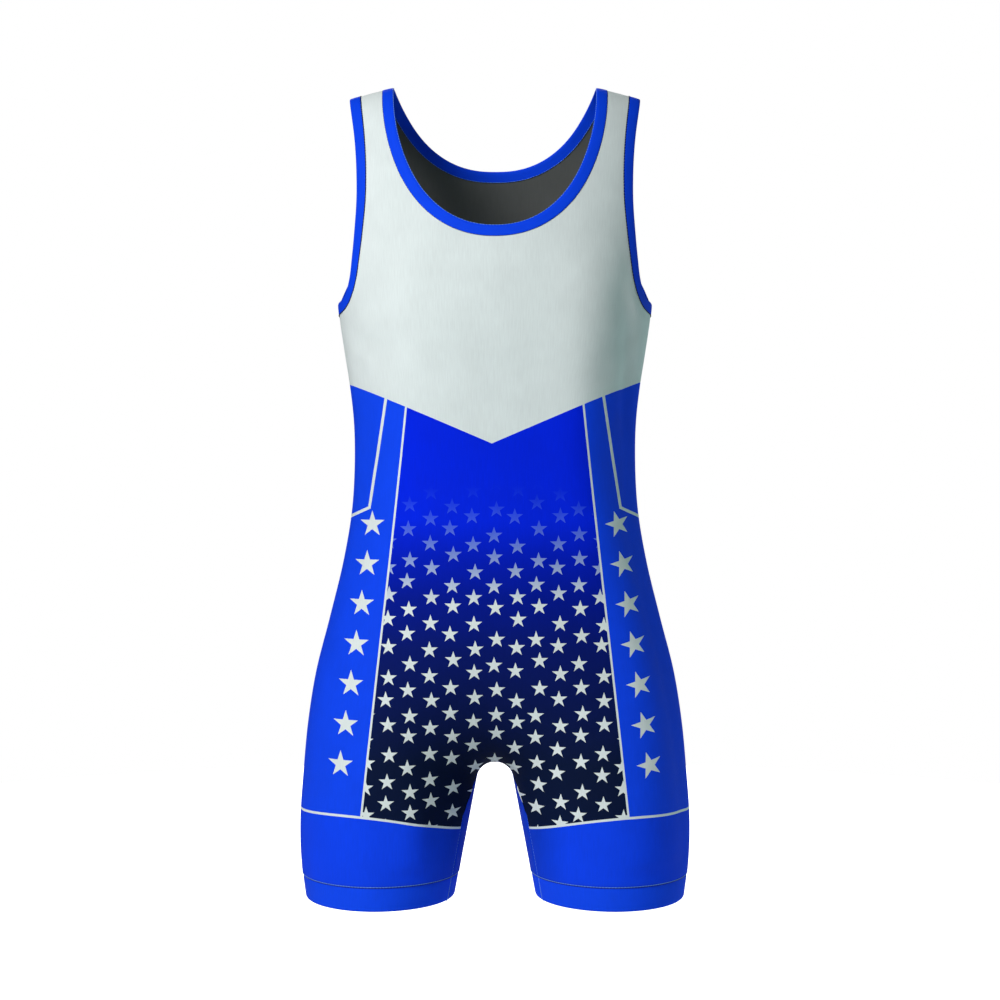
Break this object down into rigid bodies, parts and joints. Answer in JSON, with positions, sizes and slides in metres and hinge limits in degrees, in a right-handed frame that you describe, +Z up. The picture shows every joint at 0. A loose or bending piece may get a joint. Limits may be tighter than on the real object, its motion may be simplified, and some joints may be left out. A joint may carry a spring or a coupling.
{
  "type": "wrestling singlet",
  "caption": "Close-fitting wrestling singlet, filled out as worn with no wearer: bound scoop neck and armholes, short thighs with turned-up hem bands, thin hollow cloth walls.",
  "frame": {"origin": "midway between the shoulder straps and level with their tops, where the wearer's shoulders hold it", "axes": "+Z up, the front faces -Y, the wearer's left is +X"},
  "size_m": [0.3962, 0.2369, 0.821],
  "materials": {
    "printed_knit": "smooth polyester and spandex knit, pale mint-grey above the chest line and royal blue below it",
    "blue_knit": "smooth plain royal blue knit",
    "binding_knit": "folded royal blue binding, slightly glossy",
    "hem_knit": "turned-up royal blue band with elastic inside"
  },
  "bodies": {
    "root": {"front_panel": "printed_knit", "back_panel": "printed_knit", "inner_thigh_gusset": "blue_knit", "neck_binding": "binding_knit", "armhole_binding_left": "binding_knit", "armhole_binding_right": "binding_knit", "hem_band_left": "hem_knit", "hem_band_right": "hem_knit"}
  },
  "joints": []
}
